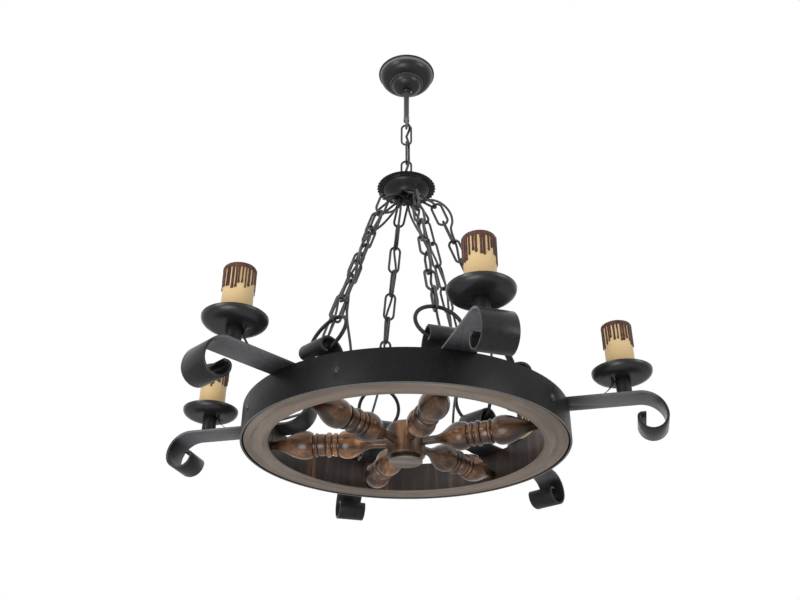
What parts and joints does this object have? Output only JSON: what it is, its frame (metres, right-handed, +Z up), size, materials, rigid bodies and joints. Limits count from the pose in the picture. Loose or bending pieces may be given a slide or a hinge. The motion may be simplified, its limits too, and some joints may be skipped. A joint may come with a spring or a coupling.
{
  "type": "wagon wheel chandelier",
  "caption": "Rustic ceiling chandelier: iron-banded wooden wagon wheel with turned spokes and scrolled iron arms carrying candle-style lamps, hung on chains from a crown, rod and canopy.",
  "frame": {"origin": "middle of the ceiling bracket's screw pattern, on the ceiling", "axes": "+Z up into the ceiling, -Y towards the picture's viewer, +X to the viewer's right"},
  "size_m": [0.6452, 0.6384, 0.6668],
  "materials": {
    "bracket_steel": "zinc-plated",
    "terminal_plastic": "moulded",
    "canopy_iron": "satin black with grey patina",
    "rod_iron": "satin black with grey patina",
    "chain_iron": "black with worn grey edges",
    "ring_iron": "satin black",
    "crown_iron": "satin black, worn lobes",
    "band_iron": "satin black",
    "screw_iron": "blackened",
    "arm_iron": "satin black with grey patina",
    "tray_iron": "satin black",
    "rim_wood": "stained and waxed",
    "turned_wood": "stained and varnished",
    "candle_cream": "satin wax look",
    "holder_black": "moulded",
    "flex_black": "smooth sheath"
  },
  "bodies": {
    "ceiling_fitting": {"ceiling_bracket": "bracket_steel", "hanger_rod": "rod_iron", "lock_nut": "bracket_steel", "terminal_block": "terminal_plastic", "main_flex": "flex_black"},
    "canopy": {"canopy": "canopy_iron", "canopy_collar": "canopy_iron", "collar_screw": "bracket_steel"},
    "upper_link": {"chain_link_upper": "chain_iron"},
    "middle_link": {"chain_link_middle": "chain_iron"},
    "lower_link": {"chain_link_lower": "chain_iron"},
    "candle_1": {"candle_sleeve_1": "candle_cream"},
    "candle_2": {"candle_sleeve_2": "candle_cream"},
    "candle_3": {"candle_sleeve_3": "candle_cream"},
    "candle_4": {"candle_sleeve_4": "candle_cream"},
    "candle_5": {"candle_sleeve_5": "candle_cream"},
    "candle_6": {"candle_sleeve_6": "candle_cream"},
    "wheel": {"crown_eye": "crown_iron", "crown_plate": "crown_iron", "crown_cup": "crown_iron", "chain_spider": "crown_iron", "crown_nut": "crown_iron", "iron_band": "band_iron", "wooden_rim": "rim_wood", "hub": "turned_wood", "spoke_1": "turned_wood", "spoke_2": "turned_wood", "spoke_3": "turned_wood", "spoke_4": "turned_wood", "spoke_5": "turned_wood", "spoke_6": "turned_wood", "arm_1": "arm_iron", "arm_2": "arm_iron", "arm_3": "arm_iron", "arm_4": "arm_iron", "arm_5": "arm_iron", "arm_6": "arm_iron", "chain_1": "chain_iron", "chain_2": "chain_iron", "chain_3": "chain_iron", "chain_4": "chain_iron", "chain_5": "chain_iron", "chain_6": "chain_iron", "hanging_rings": "ring_iron", "arm_posts": "tray_iron", "drip_tray_1": "tray_iron", "drip_tray_2": "tray_iron", "drip_tray_3": "tray_iron", "drip_tray_4": "tray_iron", "drip_tray_5": "tray_iron", "drip_tray_6": "tray_iron", "holder_nipples": "bracket_steel", "lamp_holders": "holder_black", "branch_flex_1": "flex_black", "branch_flex_2": "flex_black", "branch_flex_3": "flex_black", "branch_flex_4": "flex_black", "branch_flex_5": "flex_black", "branch_flex_6": "flex_black", "wheel_screws": "screw_iron"}
  },
  "joints": [
    {"name": "canopy_slide", "type": "slide", "parent": "ceiling_fitting", "child": "canopy", "axis": [0, 0, -1], "range_m": [0, 0.045]},
    {"name": "upper_link_swing", "type": "hinge", "parent": "ceiling_fitting", "child": "upper_link", "pos_m": [0, 0, -0.1092], "axis": [1, 0, 0], "range_deg": [-40, 40], "deforming": ["main_flex"]},
    {"name": "middle_link_swing", "type": "hinge", "parent": "upper_link", "child": "middle_link", "pos_m": [0, 0, -0.1455], "axis": [0, 1, 0], "range_deg": [-40, 40], "deforming": ["main_flex"]},
    {"name": "lower_link_swing", "type": "hinge", "parent": "middle_link", "child": "lower_link", "pos_m": [0, 0, -0.1818], "axis": [1, 0, 0], "range_deg": [-40, 40], "deforming": ["main_flex"]},
    {"name": "wheel_swing", "type": "hinge", "parent": "lower_link", "child": "wheel", "pos_m": [0, 0, -0.2176], "axis": [0, 1, 0], "range_deg": [-35, 35], "deforming": ["main_flex"]},
    {"name": "candle_lift_1", "type": "slide", "parent": "wheel", "child": "candle_1", "axis": [0, 0, 1], "range_m": [0, 0.075]},
    {"name": "candle_lift_2", "type": "slide", "parent": "wheel", "child": "candle_2", "axis": [0, 0, 1], "range_m": [0, 0.075]},
    {"name": "candle_lift_3", "type": "slide", "parent": "wheel", "child": "candle_3", "axis": [0, 0, 1], "range_m": [0, 0.075]},
    {"name": "candle_lift_4", "type": "slide", "parent": "wheel", "child": "candle_4", "axis": [0, 0, 1], "range_m": [0, 0.075]},
    {"name": "candle_lift_5", "type": "slide", "parent": "wheel", "child": "candle_5", "axis": [0, 0, 1], "range_m": [0, 0.075]},
    {"name": "candle_lift_6", "type": "slide", "parent": "wheel", "child": "candle_6", "axis": [0, 0, 1], "range_m": [0, 0.075]}
  ]
}
